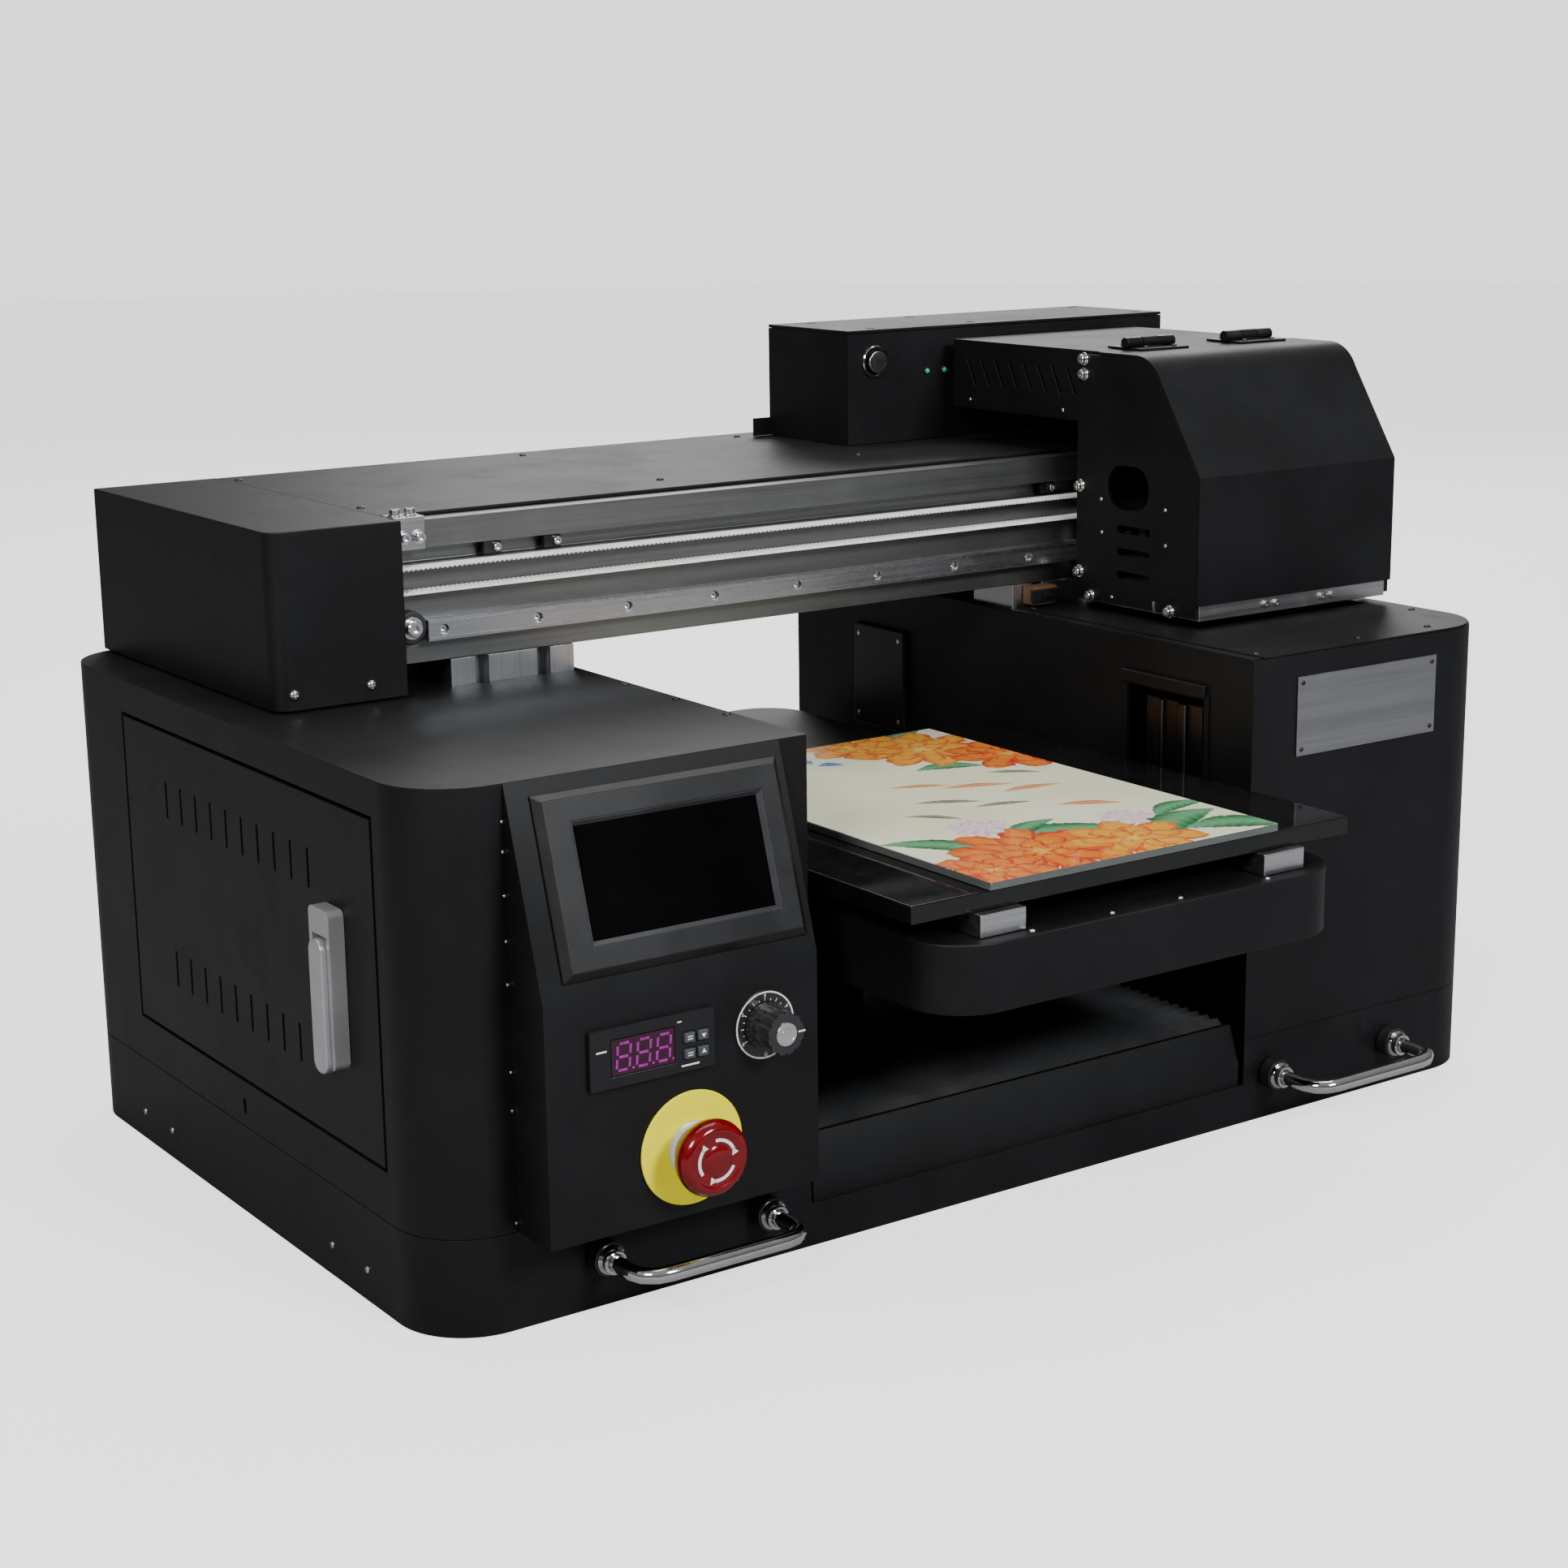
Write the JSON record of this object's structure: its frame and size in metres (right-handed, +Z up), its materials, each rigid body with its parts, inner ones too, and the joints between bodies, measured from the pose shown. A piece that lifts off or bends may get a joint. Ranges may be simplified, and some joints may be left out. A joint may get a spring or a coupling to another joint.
{
  "type": "flatbed uv printer",
  "caption": "Desktop flatbed UV printer: two cabinets on a plinth, cross beam with a belt-driven print carriage, sliding and lifting bed, sloping control console.",
  "frame": {"origin": "centre of the plinth's underside, on the surface that the printer stands on", "axes": "+X to the machine's right as seen from the front, +Y to the back, +Z up"},
  "size_m": [0.7921, 0.56, 0.4555],
  "materials": {
    "black_paint": "fine-textured black powder coat",
    "latch_silver": "satin die-cast",
    "black_plastic": "satin moulded",
    "key_plastic": "satin moulded",
    "screen_glass": "glossy dark screen",
    "warning_yellow": "satin yellow",
    "stop_red": "glossy red",
    "aluminium_section": "anodised extrusion",
    "machined_aluminium": "machined",
    "rail_steel": "ground steel",
    "black_rubber": "moulded",
    "belt_white": "toothed polyurethane belt",
    "motor_black": "satin black",
    "button_steel": "polished",
    "hinge_black": "satin",
    "tray_silver": "satin sheet",
    "bed_gloss": "polished black",
    "printed_glass": "printed glass sheet",
    "bellows_fabric": "coated cloth",
    "handle_chrome": "polished"
  },
  "bodies": {
    "frame": {"plinth": "black_paint", "left_cabinet_shell": "black_paint", "right_cabinet_shell": "black_paint", "console_housing": "black_paint", "screen_bezel": "black_plastic", "touch_screen": "screen_glass", "thermostat_body": "black_plastic", "estop_collar": "warning_yellow", "left_post": "aluminium_section", "right_post": "aluminium_section", "cross_beam": "aluminium_section", "linear_rail": "rail_steel", "rail_bumper": "black_rubber", "beam_housing": "black_paint", "beam_cover": "black_paint", "drive_belt": "belt_white", "belt_motor": "motor_black", "head_box": "black_paint", "rear_box": "black_paint", "rear_box_lid": "black_paint", "bed_rail_left": "rail_steel", "bed_rail_right": "rail_steel", "bed_motor": "motor_black", "front_bellows": "bellows_fabric", "rear_bellows": "bellows_fabric", "carry_handle_left": "handle_chrome", "carry_handle_right": "handle_chrome", "capping_station": "black_plastic"},
    "side_door": {"side_door": "black_paint", "latch_base": "latch_silver"},
    "latch_lever": {"latch_lever": "latch_silver"},
    "speed_knob": {"speed_knob": "black_plastic"},
    "estop_plunger": {"estop_stem": "stop_red"},
    "estop_head": {"estop_button": "stop_red"},
    "drive_pulley": {"drive_pulley": "machined_aluminium"},
    "idler_pulley": {"idler_pulley": "machined_aluminium"},
    "power_button": {"power_button": "button_steel"},
    "carriage": {"carriage_back_plate": "machined_aluminium", "rail_slider": "rail_steel", "carriage_left_plate": "black_paint", "carriage_right_plate": "black_paint", "hood_arm": "black_paint", "hinge_leaf_left": "hinge_black", "hinge_leaf_right": "hinge_black", "print_head": "black_plastic", "uv_lamp": "machined_aluminium", "carriage_tray": "tray_silver"},
    "front_cover": {"front_cover": "black_paint"},
    "bed": {"bed_box": "black_paint", "bed_carrier": "black_paint"},
    "platform": {"lift_column": "rail_steel", "bed_bar_left": "machined_aluminium", "bed_bar_right": "machined_aluminium", "bed_plate": "bed_gloss", "glass_sheet": "printed_glass"},
    "bed_screw": {"bed_screw": "rail_steel"},
    "thermostat_key_1": {"thermostat_key_1": "key_plastic"},
    "thermostat_key_2": {"thermostat_key_2": "key_plastic"},
    "thermostat_key_3": {"thermostat_key_3": "key_plastic"},
    "thermostat_key_4": {"thermostat_key_4": "key_plastic"}
  },
  "joints": [
    {"name": "carriage_slide", "type": "slide", "parent": "frame", "child": "carriage", "axis": [-1, 0, 0], "range_m": [0, 0.475]},
    {"name": "drive_pulley_spin", "type": "hinge", "parent": "frame", "child": "drive_pulley", "pos_m": [-0.303, -0.01, 0.346], "axis": [0, 1, 0], "continuous": true},
    {"name": "idler_pulley_spin", "type": "hinge", "parent": "frame", "child": "idler_pulley", "pos_m": [0.347, -0.01, 0.346], "axis": [0, 1, 0], "continuous": true},
    {"name": "front_cover_hinge", "type": "hinge", "parent": "carriage", "child": "front_cover", "pos_m": [0.291, -0.045, 0.4512], "axis": [-1, 0, 0], "range_deg": [0, 95]},
    {"name": "bed_slide", "type": "slide", "parent": "frame", "child": "bed", "axis": [0, 1, 0], "range_m": [0, 0.2], "deforming": ["front_bellows", "rear_bellows"]},
    {"name": "bed_screw_spin", "type": "hinge", "parent": "frame", "child": "bed_screw", "pos_m": [0.0095, -0.03, 0.039], "axis": [0, 1, 0], "continuous": true},
    {"name": "platform_lift", "type": "slide", "parent": "bed", "child": "platform", "axis": [0, 0, 1], "range_m": [0, 0.07]},
    {"name": "side_door_hinge", "type": "hinge", "parent": "frame", "child": "side_door", "pos_m": [-0.37, 0.129, 0.171], "axis": [0, 0, -1], "range_deg": [0, 110]},
    {"name": "latch_lever_pivot", "type": "hinge", "parent": "side_door", "child": "latch_lever", "pos_m": [-0.3835, -0.1355, 0.19], "axis": [0, 1, 0], "range_deg": [0, 38]},
    {"name": "speed_knob_turn", "type": "hinge", "parent": "frame", "child": "speed_knob", "pos_m": [-0.2, -0.27, 0.1437], "axis": [0, 1, 0], "range_deg": [-255, 45]},
    {"name": "estop_push", "type": "slide", "parent": "frame", "child": "estop_plunger", "axis": [0, 1, 0], "range_m": [0, 0.005]},
    {"name": "estop_twist", "type": "hinge", "parent": "estop_plunger", "child": "estop_head", "pos_m": [-0.2457, -0.28, 0.0884], "axis": [0, 1, 0], "range_deg": [0, 40], "stiffness_Nm_per_rad": 0.02},
    {"name": "power_button_push", "type": "slide", "parent": "frame", "child": "power_button", "axis": [0, 1, 0], "range_m": [0, 0.0012], "stiffness_N_per_m": 300},
    {"name": "thermostat_key_1_push", "type": "slide", "parent": "frame", "child": "thermostat_key_1", "axis": [0, 1, 0], "range_m": [0, 0.0008], "stiffness_N_per_m": 200},
    {"name": "thermostat_key_2_push", "type": "slide", "parent": "frame", "child": "thermostat_key_2", "axis": [0, 1, 0], "range_m": [0, 0.0008], "stiffness_N_per_m": 200},
    {"name": "thermostat_key_3_push", "type": "slide", "parent": "frame", "child": "thermostat_key_3", "axis": [0, 1, 0], "range_m": [0, 0.0008], "stiffness_N_per_m": 200},
    {"name": "thermostat_key_4_push", "type": "slide", "parent": "frame", "child": "thermostat_key_4", "axis": [0, 1, 0], "range_m": [0, 0.0008], "stiffness_N_per_m": 200}
  ],
  "couplings": [
    {"joint": "drive_pulley_spin", "follows": "carriage_slide", "rad_per_m": -142.86},
    {"joint": "idler_pulley_spin", "follows": "carriage_slide", "rad_per_m": -142.86},
    {"joint": "bed_screw_spin", "follows": "bed_slide", "rad_per_m": 314.16}
  ]
}
